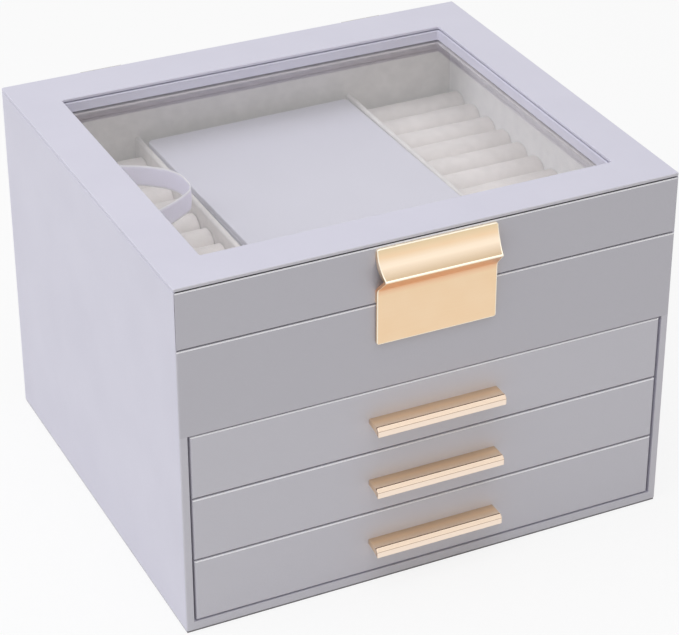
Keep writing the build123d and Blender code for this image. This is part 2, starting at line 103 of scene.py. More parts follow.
def camera_turn(azimuth, elevation, roll):
    """The camera's rotation from its angle round the box, its height angle and its roll, in degrees."""
    azimuth, elevation, roll = map(math.radians, (azimuth, elevation, roll))
    level = math.cos(elevation)
    back = Vector((math.sin(azimuth) * level, -math.cos(azimuth) * level, math.sin(elevation)))
    right = (-back).cross(Vector((0, 0, 1))).normalized()
    up = right.cross(-back)
    side = math.cos(roll) * right + math.sin(roll) * up
    top = -math.sin(roll) * right + math.cos(roll) * up
    return Matrix((side, top, back)).transposed().to_4x4()


eye = bpy.data.cameras.new("box camera")
eye.lens = camera_lens
eye.sensor_width = sensor_width
camera = bpy.data.objects.new("box camera", eye)
aim = camera_turn(camera_azimuth, camera_elevation, camera_roll)
camera.matrix_world = Matrix.Translation(camera_place) @ aim
scene.collection.objects.link(camera)
scene.camera = camera
print("camera at", in_mm(camera_place), "lens", eye.lens)

# %% [markdown]
# ## Helpers for node trees
# Shader trees and geometry trees are built the same way: make a node, set some values, link some inputs.
# One small function does that for both. A second one turns the hex colours that people write into the
# linear numbers that light works in.
#
# Some finishes change colour in places, such as a painted highlight along an edge. A mask says where, and is
# 1 there and 0 elsewhere. It needs no image: it compares each point's place with limits in metres, so it
# fits the real piece exactly.

# %% Helpers for node trees
def add_node(tree, kind, settings=None, links=None):
    """Adds one node. Settings go to its properties or inputs by name, and links go to its inputs."""
    node = tree.nodes.new(kind)
    for name, value in (settings or {}).items():
        if isinstance(name, str) and hasattr(node, name):
            setattr(node, name, value)
        else:
            node.inputs[name].default_value = value
    for name, source in (links or {}).items():
        tree.links.new(source, node.inputs[name])
    return node


def colour(code):
    """The linear colour of an sRGB hex code."""
    shares = [int(code[at : at + 2], 16) / 255 for at in (1, 3, 5)]
    return tuple(s / 12.92 if s <= 0.04045 else ((s + 0.055) / 1.055) ** 2.4 for s in shares) + (1.0,)


def new_finish(name):
    """An empty material and its tree."""
    material = bpy.data.materials.new(name)
    material.use_nodes = True
    material.node_tree.nodes.clear()
    return material, material.node_tree


def close_finish(tree, shader):
    """Links a shader to the material's output."""
    add_node(tree, "ShaderNodeOutputMaterial", links={"Surface": shader})


print("mid grey is", round(colour("#808080")[0], 3), "in linear light")

# %% Helpers for masks
def patch(tree, *spans):
    """A mask of the points where each value lies within its span. A span is a value, its low limit and its
    high limit, and a limit of None is left open."""
    mask, times = None, {"operation": "MULTIPLY"}
    for value, low, high in spans:
        for operation, limit in (("GREATER_THAN", low), ("LESS_THAN", high)):
            if limit is None:
                continue
            test = add_node(tree, "ShaderNodeMath", {"operation": operation, 1: limit}, {0: value}).outputs[0]
            if mask is not None:
                test = add_node(tree, "ShaderNodeMath", times, {0: mask, 1: test}).outputs[0]
            mask = test
    return mask


def paint(tree, tint, marks):
    """Lays colours over a tint, one after the other. Each mark is a mask and the hex code of its colour."""
    for mask, code in marks:
        coat = add_node(tree, "ShaderNodeMix", {"data_type": "RGBA", 7: colour(code)}, {0: mask, 6: tint})
        tint = coat.outputs[2]
    return tint


print("helpers for masks:", [helper.__name__ for helper in (patch, paint)])

# %% [markdown]
# ## Leatherette
# The boards are wrapped in polyurethane leatherette: a thin embossed film on cloth, satin rather than
# glossy. An image of leather would tile and smear, so the grain is a Voronoi pattern that bends the light
# through a bump. Real pebble grain is about 0.6 mm across. Here the cells are 1.1 mm, because finer ones
# vanish at this distance. A slow noise makes the film's slight unevenness of tone and gloss. What faces the
# front, including the front ends of the side boards, gets a greyer, less lilac film. That is painted shade
# for the cooler, weaker light on the front faces, so the tone changes at the front edge.
#
# Under the top edge of each front board, a pale band is a painted highlight where the rounded edge
# catches the light. In the groove over the lid's strip, a dark colour is painted shade. Both are marks
# at a height that each front board names for itself.

# %% Leatherette
front_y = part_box("front_strip")[0].y
pebble_width, cloud_width = 1.1 * MM, 35 * MM
warp_width, warp_reach = 4 * MM, 0.9 * MM
front_shade_start, front_shade_end = 0.2 * MM, 0.7 * MM
highlight_start, highlight_end = 0.2 * MM, 0.75 * MM
groove_shade_start = 0.12 * MM


def leatherette(name, film, film_shade, front_shade_film, rim=None, groove_shade_from=None):
    """Embossed polyurethane film, satin, with a greyer film as painted shade on what lies in the front plane.
    A pale band just under the rim height is a painted highlight, and a dark colour over the groove is painted
    shade."""
    material, tree = new_finish(name)
    place = add_node(tree, "ShaderNodeTexCoord").outputs["Object"]
    apart = add_node(tree, "ShaderNodeSeparateXYZ", links={0: place}).outputs

    warp = add_node(tree, "ShaderNodeTexNoise", {"Scale": 1 / warp_width, "Detail": 2.0}, {"Vector": place})
    shift = {"operation": "SCALE", "Scale": warp_reach}
    bent = add_node(tree, "ShaderNodeVectorMath", shift, {0: warp.outputs["Color"]})
    drift = add_node(tree, "ShaderNodeVectorMath", {"operation": "ADD"}, {0: place, 1: bent.outputs[0]})
    cells = {"feature": "SMOOTH_F1", "Scale": 1 / pebble_width, "Smoothness": 0.5}
    pebble = add_node(tree, "ShaderNodeTexVoronoi", cells, {"Vector": drift.outputs[0]})
    bump = {"Strength": 0.22, "Distance": 0.15 * MM}
    grain = add_node(tree, "ShaderNodeBump", bump, {"Height": pebble.outputs["Distance"]})

    cloud = add_node(tree, "ShaderNodeTexNoise", {"Scale": 1 / cloud_width, "Detail": 3.0}, {"Vector": place})
    contrast = {"From Min": 0.3, "From Max": 0.7}
    tone = add_node(tree, "ShaderNodeMapRange", contrast, {"Value": cloud.outputs[0]})
    films = {"data_type": "RGBA", 6: colour(film), 7: colour(film_shade)}
    film_mix = add_node(tree, "ShaderNodeMix", films, {0: tone.outputs["Result"]})
    # Painted shade: the greyer front film on whatever lies in the front plane.
    front_shade_span = {"From Min": front_y + front_shade_start, "From Max": front_y + front_shade_end}
    edge = add_node(tree, "ShaderNodeMapRange", front_shade_span, {"Value": apart["Y"]})
    front = {"data_type": "RGBA", 6: colour(front_shade_film)}
    front_shaded = add_node(tree, "ShaderNodeMix", front, {0: edge.outputs["Result"], 7: film_mix.outputs[2]})

    marks = []
    if rim:
        # Painted highlight: a pale band just under the top edge of a front board.
        highlight_band = (apart["Z"], rim - highlight_end, rim - highlight_start)
        marks.append((patch(tree, highlight_band, (apart["Y"], None, front_y + front_shade_end)), "#FDFCFF"))
    # Painted shade: a dark colour in the groove over the lid's strip.
    if groove_shade_from:
        marks.append((patch(tree, (apart["Z"], groove_shade_from, None)), "#4E4C50"))
    tint = paint(tree, front_shaded.outputs[2], marks)

    satin = {"To Min": 0.36, "To Max": 0.46}
    gloss = add_node(tree, "ShaderNodeMapRange", satin, {"Value": cloud.outputs[0]})
    surface = {"Base Color": tint, "Roughness": gloss.outputs["Result"], "Normal": grain.outputs["Normal"]}
    close_finish(tree, add_node(tree, "ShaderNodeBsdfPrincipled", {"IOR": 1.5}, surface).outputs[0])
    return material


print("front plane at Y in mm:", in_mm([front_y]))

# %% [markdown]
# Two finishes serve every covered board but the front ones. Each of the five front boards has its own,
# because the painted highlight under each seam lies at another height. The two strips over the drawers
# get a slightly darker film. That is painted shade, because less light comes up from the floor to them
# than to the drawers. The lid's strip has a groove 0.6 mm high over its edge, painted dark as shade.

# %% Films of the boards
def board_finish(node, film, groove=0.0):
    """The leatherette of one front board, with a painted highlight under its top edge and painted shade in
    the groove over it.
    """
    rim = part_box(node)[1].z - groove
    groove_shade_from = rim - groove_shade_start if groove else None
    return leatherette(f"polyurethane leatherette, {node}", film, film, film, rim, groove_shade_from)


# Painted shade: the grey drawer film stands for the front's shade, and the strips' darker film for the still
# weaker light higher up.
drawer_film, shaded_strip_film = "#D3D1D9", "#CAC8D0"
side_films = ("#D8D6E4", "#D5D3E1", drawer_film)
front_shade_films = (drawer_film, "#D0CED6", drawer_film)
finishes = {
    "leatherette": leatherette("polyurethane leatherette, pale lilac grey", *side_films),
    "leatherette_front": leatherette("polyurethane leatherette, pale grey", *front_shade_films),
}
own_finish = {
    "lid_front_strip": board_finish("lid_front_strip", shaded_strip_film, groove=0.6 * MM),
    "front_strip": board_finish("front_strip", shaded_strip_film),
}
for number in (1, 2, 3):
    own_finish[f"drawer_{number}_front"] = board_finish(f"drawer_{number}_front", drawer_film)
print("leatherette finishes:", [finish.name for finish in finishes.values()], "and", list(own_finish))

# %% [markdown]
# ## Velvet
# The inside is lined with short-pile nylon velvet. Its pile catches light at grazing angles, which is
# what the sheen of the Principled shader is for, and it lies in patches that look lighter or darker. The
# patches are noise about 7 mm across. A pile fibre is 0.02 mm thick, far too fine to show, so the bump is
# drawn as 0.5 mm tufts. The right lining's velvet is painted paler. That is painted light, for the light
# from the left that reaches it through the glass.

# %% Velvet
patch_width = 7 * MM


def velvet(name, pile, pile_shade, tuft=0.5):
    """Short-pile velvet. The tuft is the size in millimetres that the pile is drawn at."""
    material, tree = new_finish(name)
    place = add_node(tree, "ShaderNodeTexCoord").outputs["Object"]
    patches = {"Scale": 1 / patch_width, "Detail": 4.0, "Roughness": 0.6}
    patchy = add_node(tree, "ShaderNodeTexNoise", patches, {"Vector": place})
    contrast = {"From Min": 0.35, "From Max": 0.65}
    lie = add_node(tree, "ShaderNodeMapRange", contrast, {"Value": patchy.outputs[0]})
    piles = {"data_type": "RGBA", 6: colour(pile), 7: colour(pile_shade)}
    pile_mix = add_node(tree, "ShaderNodeMix", piles, {0: lie.outputs["Result"]})
    fibre = add_node(tree, "ShaderNodeTexNoise", {"Scale": 1 / (tuft * MM), "Detail": 2.0}, {"Vector": place})
    bump = {"Strength": 0.45, "Distance": 0.2 * MM}
    nap = add_node(tree, "ShaderNodeBump", bump, {"Height": fibre.outputs[0]})
    settings = {"Roughness": 0.95, "IOR": 1.45, "Specular IOR Level": 0.2}
    settings.update({"Sheen Weight": 0.25, "Sheen Roughness": 0.45})
    surface = {"Base Color": pile_mix.outputs[2], "Normal": nap.outputs["Normal"]}
    close_finish(tree, add_node(tree, "ShaderNodeBsdfPrincipled", settings, surface).outputs[0])
    return material


finishes["velvet"] = velvet("short-pile velvet, greige", "#EAE5E3", "#E0DBD9")
finishes["ring_velvet"] = velvet("short-pile velvet, cream", "#EEE7E4", "#E5DEDB", tuft=0.7)
finishes["tray_velvet"] = velvet("flocked tray paper, grey", "#BFBBBA", "#B6B2B1")
# Painted light: the right lining gets a paler velvet than the rest of the lining.
own_finish["right_lining"] = velvet("short-pile velvet, painted paler for light", "#F9F8FA", "#F1F0F3")
print("velvet finishes:", [name for name in finishes if "velvet" in name], "and the right lining's own")

# %% [markdown]
# ## Champagne metal and steel
# The clasp and the pulls are aluminium, brushed along their length and anodised champagne. A metal's
# colour is its reflection, so Metallic is 1 and the base is pale. Brushing is a noise stretched sixty
# times along X: it moves the roughness and makes fine ridges. Real brush lines are 0.05 mm apart, and
# these are 0.3 mm, so that they show. The hinges and screws are nickel-plated steel, made by the same
# function with other numbers.

# %% Brushed metal
brush_spacing, brush_stretch, blotch_width = 0.3 * MM, 60, 12 * MM


def brushed_metal(name, metal, metal_shade, smooth, rough, marks=None):
    """Brushed metal, with brush lines along X. Marks is a function that gives what paint lays over it."""
    material, tree = new_finish(name)
    place = add_node(tree, "ShaderNodeTexCoord").outputs["Object"]
    along = add_node(tree, "ShaderNodeMapping", {"Scale": (1 / brush_stretch, 1, 1)}, {"Vector": place})
    lines = {"Scale": 1 / brush_spacing, "Detail": 2.0, "Roughness": 0.6}
    brush = add_node(tree, "ShaderNodeTexNoise", lines, {"Vector": along.outputs[0]})
    blotches = {"Scale": 1 / blotch_width, "Detail": 1.0}
    blotch = add_node(tree, "ShaderNodeTexNoise", blotches, {"Vector": place})
    shades = {"data_type": "RGBA", 6: colour(metal), 7: colour(metal_shade)}
    tint = add_node(tree, "ShaderNodeMix", shades, {0: blotch.outputs[0]}).outputs[2]
    if marks:
        tint = paint(tree, tint, marks(tree, place))
    polish = {"From Min": 0.3, "From Max": 0.7, "To Min": smooth, "To Max": rough}
    gloss = add_node(tree, "ShaderNodeMapRange", polish, {"Value": brush.outputs[0]})
    bump = {"Strength": 0.35, "Distance": 0.05 * MM}
    ridge = add_node(tree, "ShaderNodeBump", bump, {"Height": brush.outputs[0]})
    surface = {"Base Color": tint, "Roughness": gloss.outputs["Result"], "Normal": ridge.outputs["Normal"]}
    close_finish(tree, add_node(tree, "ShaderNodeBsdfPrincipled", {"Metallic": 1.0}, surface).outputs[0])
    return material


champagne = ("#F8DDBB", "#F5D6B0", 0.4, 0.52)
finishes["gold_metal"] = brushed_metal("brushed aluminium, anodised champagne", *champagne)
finishes["hinge_steel"] = brushed_metal("nickel-plated steel, brushed", "#C9C5BE", "#BDB9B2", 0.28, 0.4)
finishes["screw_steel"] = brushed_metal("nickel-plated steel, turned", "#C4C1BC", "#B5B2AD", 0.2, 0.3)
finishes["magnet"] = brushed_metal("nickel-plated magnet", "#B9B8B6", "#ADACAA", 0.15, 0.22)
metals = ("gold_metal", "hinge_steel", "screw_steel", "magnet")
print("metal finishes:", [finishes[slot].name for slot in metals])

# %% [markdown]
# ## Painted reflections on the clasp
# The clasp is one sheet, folded out to a hollow that the finger pulls on. Its reflections are painted into
# its colour: painted highlights along its rims, a warmer painted reflection on the plate under its fold,
# painted shade along its lip and a little towards its top, and a painted highlight in the middle of its
# hollow. Each shade is a mark with its own mask, laid over the brushed metal. The rims draw in by 1 mm
# towards the lip, and a slope along Y does that.

# %% Clasp painted reflections
rim_width, top_rim_width, sliver = 0.55 * MM, 0.5 * MM, 0.03 * MM
rim_taper, taper_start = 1.0 * MM, 2.3 * MM
fold_rise, fold_line = 36.1 * MM, 0.1 * MM


def clasp_painted_light(tree, place):
    """The painted reflections of the clasp's fold, hollow and lip, and its painted rim highlights, which draw
    in towards the lip.
    """
    low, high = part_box("clasp")
    fold = low.z + fold_rise
    apart = add_node(tree, "ShaderNodeSeparateXYZ", links={0: place}).outputs

    def fade(start, end):
        """0 at the first height over the fold's edge and 1 at the second, both in millimetres."""
        span = {"From Min": fold + start * MM, "From Max": fold + end * MM}
        return add_node(tree, "ShaderNodeMapRange", span, {"Value": apart["Z"]}).outputs["Result"]

    def shade(slope, low_limit, high_limit):
        """A slope that counts only between two heights."""
        band = patch(tree, (apart["Z"], low_limit, high_limit))
        return add_node(tree, "ShaderNodeMath", {"operation": "MULTIPLY"}, {0: slope, 1: band}).outputs[0]

    narrowing = {"From Min": front_y - taper_start, "From Max": low.y, "To Max": rim_taper}
    taper = add_node(tree, "ShaderNodeMapRange", narrowing, {"Value": apart["Y"]}).outputs["Result"]
    side = add_node(tree, "ShaderNodeMath", {"operation": "ABSOLUTE"}, {0: apart["X"]}).outputs[0]
    reach = add_node(tree, "ShaderNodeMath", {"operation": "ADD"}, {0: side, 1: taper}).outputs[0]
    rims = patch(tree, (reach, high.x - rim_width, high.x - sliver))
    foot_rim = (apart["Z"], low.z + sliver, low.z + rim_width)
    top_rim = (apart["Z"], high.z - top_rim_width, None)
    lip_rim = (apart["Y"], None, low.y + rim_width)
    for span in (foot_rim, top_rim, lip_rim):
        either = {0: rims, 1: patch(tree, span)}
        rims = add_node(tree, "ShaderNodeMath", {"operation": "MAXIMUM"}, either).outputs[0]
    # Painted reflections and shade: under the fold, the hollow's middle, the top, the lip, and painted
    # highlights on the rims.
    return [
        (shade(fade(-10.7, -6.5), None, fold - fold_line), "#EFBD95"),
        (shade(fade(9.6, 6.8), fold, None), "#FDEAD2"),
        (fade(9.8, 13.1), "#EBD5B0"),
        (shade(fade(5.4, 0.4), fold, None), "#BCA484"),
        (rims, "#FFF4E0"),
    ]


clasp_finish = "brushed aluminium, anodised champagne, cut rims"
own_finish["clasp"] = brushed_metal(clasp_finish, *champagne, marks=clasp_painted_light)
print(clasp_finish, "has", len(own_finish["clasp"].node_tree.nodes), "nodes")

# %% [markdown]
# ## Painted reflections on the pulls
# A pull is a bar whose top ends in a fine groove, with a bevel and a face in front of it. Its reflections
# are painted into its colour: painted highlights on the bevel and the face, a darker painted line where
# they meet, painted shade in the groove, a duller top at its root where it mirrors the drawer, and a
# painted highlight at its lip. How far a point stands out from the front says which of these it is on, and
# the heights are counted down from the pull's own top, so each pull has its own finish.

# %% Pull painted reflections
groove_near, groove_far = 8.05 * MM, 8.75 * MM
groove_high, groove_low = 0.1 * MM, 0.95 * MM
face_line_high, face_line_low = 1.45 * MM, 1.95 * MM
face_skin = 0.12 * MM
root_end, lip_end = 4 * MM, 8 * MM


def pull_painted_light(node):
    """The painted reflections of one pull: a dull root, a pale lip, highlights on the bevel and face, their
    dark line, shade in the groove.
    """
    low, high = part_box(node)
    face = front_y - low.y - face_skin

    def marks(tree, place):
        apart = add_node(tree, "ShaderNodeSeparateXYZ", links={0: place}).outputs
        from_front = {"operation": "SUBTRACT", 0: front_y}
        out = add_node(tree, "ShaderNodeMath", from_front, {1: apart["Y"]}).outputs[0]
        root = {"From Max": root_end, "To Min": 1.0, "To Max": 0.0}
        lip = {"From Min": root_end, "From Max": lip_end}
        face_line = (apart["Z"], high.z - face_line_low, high.z - face_line_high)
        groove = (apart["Z"], high.z - groove_low, high.z - groove_high)
        # Painted reflections and shade: root, lip, bevel and face highlights, the line between them, the
        # groove.
        return [
            (add_node(tree, "ShaderNodeMapRange", root, {"Value": out}).outputs["Result"], "#D9C2AA"),
            (add_node(tree, "ShaderNodeMapRange", lip, {"Value": out}).outputs["Result"], "#FFEAD2"),
            (patch(tree, (out, groove_far, None)), "#FBE9D8"),
            (patch(tree, (out, groove_far, face)), "#E9D4BE"),
            (patch(tree, face_line, (out, face, None)), "#D2BBA5"),
            (patch(tree, groove, (out, groove_near, groove_far)), "#A06C4A"),
        ]

    return marks


for number in (1, 2, 3):
    node = f"drawer_{number}_pull"
    name = f"brushed aluminium, anodised champagne, cut front {number}"
    own_finish[node] = brushed_metal(name, *champagne, marks=pull_painted_light(node))
    print(node, "stands out from the front by", in_mm([front_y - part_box(node)[0].y]), "mm")

# %% [markdown]
# ## The pane
# The window is 1.5 mm float glass. Refracting glass needs many light bounces and darkens what is under
# it. A thin flat pane hardly bends light, so this one lets rays straight through and adds a mirror that
# Fresnel makes stronger at low angles. A pane mirrors at both faces, so the share is f times (2 - f), and
# it is all put on the face that the ray meets first, because the inner one would throw back everything
# that comes at a low angle. A faint smear in the gloss keeps the mirror from looking computed.

# %% Glass
smear_width = 45 * MM


def window_glass(name, tint):
    """A clear pane: straight through, with a Fresnel mirror on top."""
    material, tree = new_finish(name)
    place = add_node(tree, "ShaderNodeTexCoord").outputs["Object"]
    smear = add_node(tree, "ShaderNodeTexNoise", {"Scale": 1 / smear_width, "Detail": 2.0}, {"Vector": place})
    polish = add_node(tree, "ShaderNodeMapRange", {"To Max": 0.05}, {"Value": smear.outputs[0]})
    white = {"Color": (1, 1, 1, 1)}
    mirror = add_node(tree, "ShaderNodeBsdfGlossy", white, {"Roughness": polish.outputs["Result"]})
    clear = add_node(tree, "ShaderNodeBsdfTransparent", {"Color": colour(tint)})
    fresnel = add_node(tree, "ShaderNodeFresnel", {"IOR": 1.5}).outputs[0]
    rest = add_node(tree, "ShaderNodeMath", {"operation": "SUBTRACT", 0: 2.0}, {1: fresnel}).outputs[0]
    both = add_node(tree, "ShaderNodeMath", {"operation": "MULTIPLY"}, {0: fresnel, 1: rest}).outputs[0]
    inner = add_node(tree, "ShaderNodeNewGeometry").outputs["Backfacing"]
    outer = add_node(tree, "ShaderNodeMath", {"operation": "SUBTRACT", 0: 1.0}, {1: inner}).outputs[0]
    share = add_node(tree, "ShaderNodeMath", {"operation": "MULTIPLY"}, {0: both, 1: outer}).outputs[0]
    pane = add_node(tree, "ShaderNodeMixShader", links={0: share, 1: clear.outputs[0], 2: mirror.outputs[0]})
    close_finish(tree, pane.outputs[0])
    return material


finishes["glass"] = window_glass("float glass, 1.5 mm", "#FEFEFE")
print("pane finish:", finishes["glass"].name)

# %% [markdown]
# ## Base paper
# Under the box is a sheet of plain grey paper, uncoated and matt. A noise at the length of its fibres,
# about 1.5 mm, moves its tone a little and roughens it.

# %% Paper
paper_fibre = 1.5 * MM


def fibre_paper(name, pulp, pulp_shade):
    """Uncoated paper with short fibres."""
    material, tree = new_finish(name)
    place = add_node(tree, "ShaderNodeTexCoord").outputs["Object"]
    flecks = {"Scale": 1 / paper_fibre, "Detail": 5.0, "Roughness": 0.7}
    fleck = add_node(tree, "ShaderNodeTexNoise", flecks, {"Vector": place})
    pulps = {"data_type": "RGBA", 6: colour(pulp), 7: colour(pulp_shade)}
    pulp_mix = add_node(tree, "ShaderNodeMix", pulps, {0: fleck.outputs[0]})
    bump = {"Strength": 0.3, "Distance": 0.1 * MM}
    tooth = add_node(tree, "ShaderNodeBump", bump, {"Height": fleck.outputs[0]})
    surface = {"Base Color": pulp_mix.outputs[2], "Normal": tooth.outputs["Normal"]}
    close_finish(tree, add_node(tree, "ShaderNodeBsdfPrincipled", {"Roughness": 0.85}, surface).outputs[0])
    return material


finishes["base_paper"] = fibre_paper("uncoated base paper, grey", "#8F8D90", "#7D7B7E")
print("finishes so far:", len(finishes), "and", len(own_finish), "for single solids")

# %% [markdown]
# ## Grosgrain ribbon
# The lid stay is grosgrain: fine cross ribs with a firm woven edge along both sides. Ribs have to follow
# the ribbon round its loop, so they read its UV map, which holds metres along and across. Real ribs are
# 0.7 mm apart and these are 1 mm. The woven edge is a band 0.7 mm wide and a little brighter. Thin white
# cloth glows when light comes from behind it, and a share of 0.7 of the Translucent shader gives that.

# %% Ribbon finish
ribbon_width = 11 * MM
rib_spacing = 1.0 * MM
edge_inside, edge_outside = 0.8 * MM, 0.5 * MM
light_through = 0.7


def grosgrain(name, weave, weave_shade, edge):
    """Ribbed ribbon cloth. Its UV map is in metres, U along and V across."""
    material, tree = new_finish(name)
    laid = add_node(tree, "ShaderNodeUVMap", {"uv_map": "ribbon"})
    apart = add_node(tree, "ShaderNodeSeparateXYZ", links={0: laid.outputs[0]}).outputs
    rate = {"operation": "MULTIPLY", 1: 2 * math.pi / rib_spacing}
    turns = add_node(tree, "ShaderNodeMath", rate, {0: apart["X"]})
    rib = add_node(tree, "ShaderNodeMath", {"operation": "SINE"}, {0: turns.outputs[0]})
    rib_tone = add_node(tree, "ShaderNodeMapRange", {"From Min": -1.0}, {"Value": rib.outputs[0]})
    weaves = {"data_type": "RGBA", 6: colour(weave_shade), 7: colour(weave)}
    weave_mix = add_node(tree, "ShaderNodeMix", weaves, {0: rib_tone.outputs["Result"]})
    middle = {"operation": "SUBTRACT", 1: ribbon_width / 2}
    across = add_node(tree, "ShaderNodeMath", middle, {0: apart["Y"]})
    out = add_node(tree, "ShaderNodeMath", {"operation": "ABSOLUTE"}, {0: across.outputs[0]})
    band = {"From Min": ribbon_width / 2 - edge_inside, "From Max": ribbon_width / 2 - edge_outside}
    selvage = add_node(tree, "ShaderNodeMapRange", band, {"Value": out.outputs[0]}).outputs["Result"]
    tint = paint(tree, weave_mix.outputs[2], [(selvage, edge)])
    bump = {"Strength": 0.5, "Distance": 0.12 * MM}
    ribbed = add_node(tree, "ShaderNodeBump", bump, {"Height": rib.outputs[0]})
    settings = {"Roughness": 0.6, "Sheen Weight": 0.3, "Sheen Roughness": 0.4}
    surface = {"Base Color": tint, "Normal": ribbed.outputs["Normal"]}
    cloth = add_node(tree, "ShaderNodeBsdfPrincipled", settings, surface)
    glow = add_node(tree, "ShaderNodeBsdfTranslucent", links={"Color": tint})
    layers = {1: cloth.outputs[0], 2: glow.outputs[0]}
    close_finish(tree, add_node(tree, "ShaderNodeMixShader", {0: light_through}, layers).outputs[0])
    return material


finishes["ribbon"] = grosgrain("grosgrain ribbon, white", "#F9F7FF", "#F0EDFC", "#FEFDFF")
print("ribbon ribs per 100 mm:", round(100 * MM / rib_spacing))

# %% [markdown]
# ## Dress the solids
# Every solid names the material slot that it takes, so one loop gives each its finish. A few have a
# finish of their own, which goes first. The meshes themselves stay as they came.

# %% Give each solid its finish
dressed = {}
for part in frame["record"]["subparts"]:
    slot = part["material_slot"]
    solid = nodes[part["node"]]
    solid.data.materials.clear()
    solid.data.materials.append(own_finish.get(part["node"], finishes[slot]))
    dressed[slot] = dressed.get(slot, 0) + 1
print("solids by finish:", dressed)

# %% [markdown]
# ## Growing a mesh with Geometry Nodes
# A geometry tree can make a whole piece from a few named sizes. This helper runs a tree on an empty mesh,
# sets the inputs by their identifiers, and keeps the result as a plain mesh, so that the tree's modifier
# can go.

# %% Run a geometry tree
def new_growth(name, inputs):
    """A geometry tree with named inputs, and the outputs of its input node. Nothing else is in it yet."""
    tree = bpy.data.node_groups.new(name, "GeometryNodeTree")
    for label, kind in inputs.items():
        tree.interface.new_socket(label, in_out="INPUT", socket_type=kind)
    tree.interface.new_socket("Geometry", in_out="OUTPUT", socket_type="NodeSocketGeometry")
    return tree, add_node(tree, "NodeGroupInput").outputs


def plain_mesh(piece):
    """The mesh that an object's modifiers make, as a plain one."""
    return bpy.data.meshes.new_from_object(piece.evaluated_get(bpy.context.evaluated_depsgraph_get()))


def grow(name, tree, values):
    """Runs the tree with these values and returns an object with the plain mesh that it made."""
    piece = bpy.data.objects.new(name, bpy.data.meshes.new(name))
    scene.collection.objects.link(piece)
    growth = piece.modifiers.new("growth", "NODES")
    growth.node_group = tree
    for socket in tree.interface.items_tree:
        if socket.in_out == "INPUT":
            growth[socket.identifier] = values[socket.name]
    mesh = plain_mesh(piece)
    piece.modifiers.remove(growth)
    piece.data = mesh
    return piece


print("helpers for pieces:", [helper.__name__ for helper in (new_growth, plain_mesh, grow)])

# %% [markdown]
# ## Ring rolls
# Each side bay holds twelve foam rolls wrapped in velvet, and rings sit in the creases between them. One
# roll is a rounded outline swept along X, with its ends drawn in a little where the velvet is tucked.
# Swept outlines give a clean soft form, which a cloth simulation would only blur. The spine has 64
# points, so that the dents that come later have something to move, and its radius shrinks over the last
# few millimetres at both ends.

# %% Spine and outline of one roll
spine_points, corner_points = 64, 10
end_size, end_bend = 0.88, 2.4
roll_tree, roll_in = new_growth(
    "ring rolls",
    {
        "Rolls": "NodeSocketInt",
        "Pitch": "NodeSocketFloat",
        "Width": "NodeSocketFloat",
        "Height": "NodeSocketFloat",
        "Length": "NodeSocketFloat",
        "Tuck": "NodeSocketFloat",
        "Dent": "NodeSocketFloat",
        "Seed": "NodeSocketInt",
        "Start": "NodeSocketVector",
        "Finish": "NodeSocketMaterial",
    },
)
roll_end = add_node(roll_tree, "ShaderNodeCombineXYZ", links={"X": roll_in["Length"]})
spine = add_node(roll_tree, "GeometryNodeCurvePrimitiveLine", links={"End": roll_end.outputs[0]})
spine = add_node(roll_tree, "GeometryNodeResampleCurve", {"Count": spine_points}, {"Curve": spine.outputs[0]})
along = add_node(roll_tree, "GeometryNodeSplineParameter").outputs["Length"]
other = add_node(roll_tree, "ShaderNodeMath", {"operation": "SUBTRACT"}, {0: roll_in["Length"], 1: along})
inward = add_node(roll_tree, "ShaderNodeMath", {"operation": "MINIMUM"}, {0: along, 1: other.outputs[0]})
near_end = {"Value": inward.outputs[0], "From Max": roll_in["Tuck"]}
tucked = add_node(roll_tree, "ShaderNodeMapRange", {"To Min": 1.0, "To Max": 0.0}, near_end).outputs["Result"]
bend = add_node(roll_tree, "ShaderNodeMath", {"operation": "POWER", 1: end_bend}, {0: tucked})
shrink = {"To Min": 1.0, "To Max": end_size}
size = add_node(roll_tree, "ShaderNodeMapRange", shrink, {"Value": bend.outputs[0]})
tapered = {"Curve": spine.outputs[0], "Radius": size.outputs["Result"]}
spine = add_node(roll_tree, "GeometryNodeSetCurveRadius", links=tapered)
sides = {"Width": roll_in["Width"], "Height": roll_in["Height"]}
outline = add_node(roll_tree, "GeometryNodeCurvePrimitiveQuadrilateral", links=sides)
half_width = add_node(roll_tree, "ShaderNodeMath", {"operation": "MULTIPLY", 1: 0.499}, {0: roll_in["Width"]})
corners = {"mode": "POLY", "Count": corner_points, "Limit Radius": True}
rounded = {"Curve": outline.outputs[0], "Radius": half_width.outputs[0]}
outline = add_node(roll_tree, "GeometryNodeFilletCurve", corners, rounded)
sweep = {"Curve": spine.outputs[0], "Profile Curve": outline.outputs[0]}
roll = add_node(roll_tree, "GeometryNodeCurveToMesh", {"Fill Caps": True}, sweep)
print("one roll:", len(roll_tree.nodes), "nodes,", spine_points, "points along its spine")

# %% [markdown]
# Twelve copies of the roll stand on a line of points, each a hair different in size and tilt. The two
# Random Value nodes share a seed that comes in from outside, so the rolls are the same in every run. A
# slow noise then dents the foam by a fraction of a millimetre, because foam is never quite even.

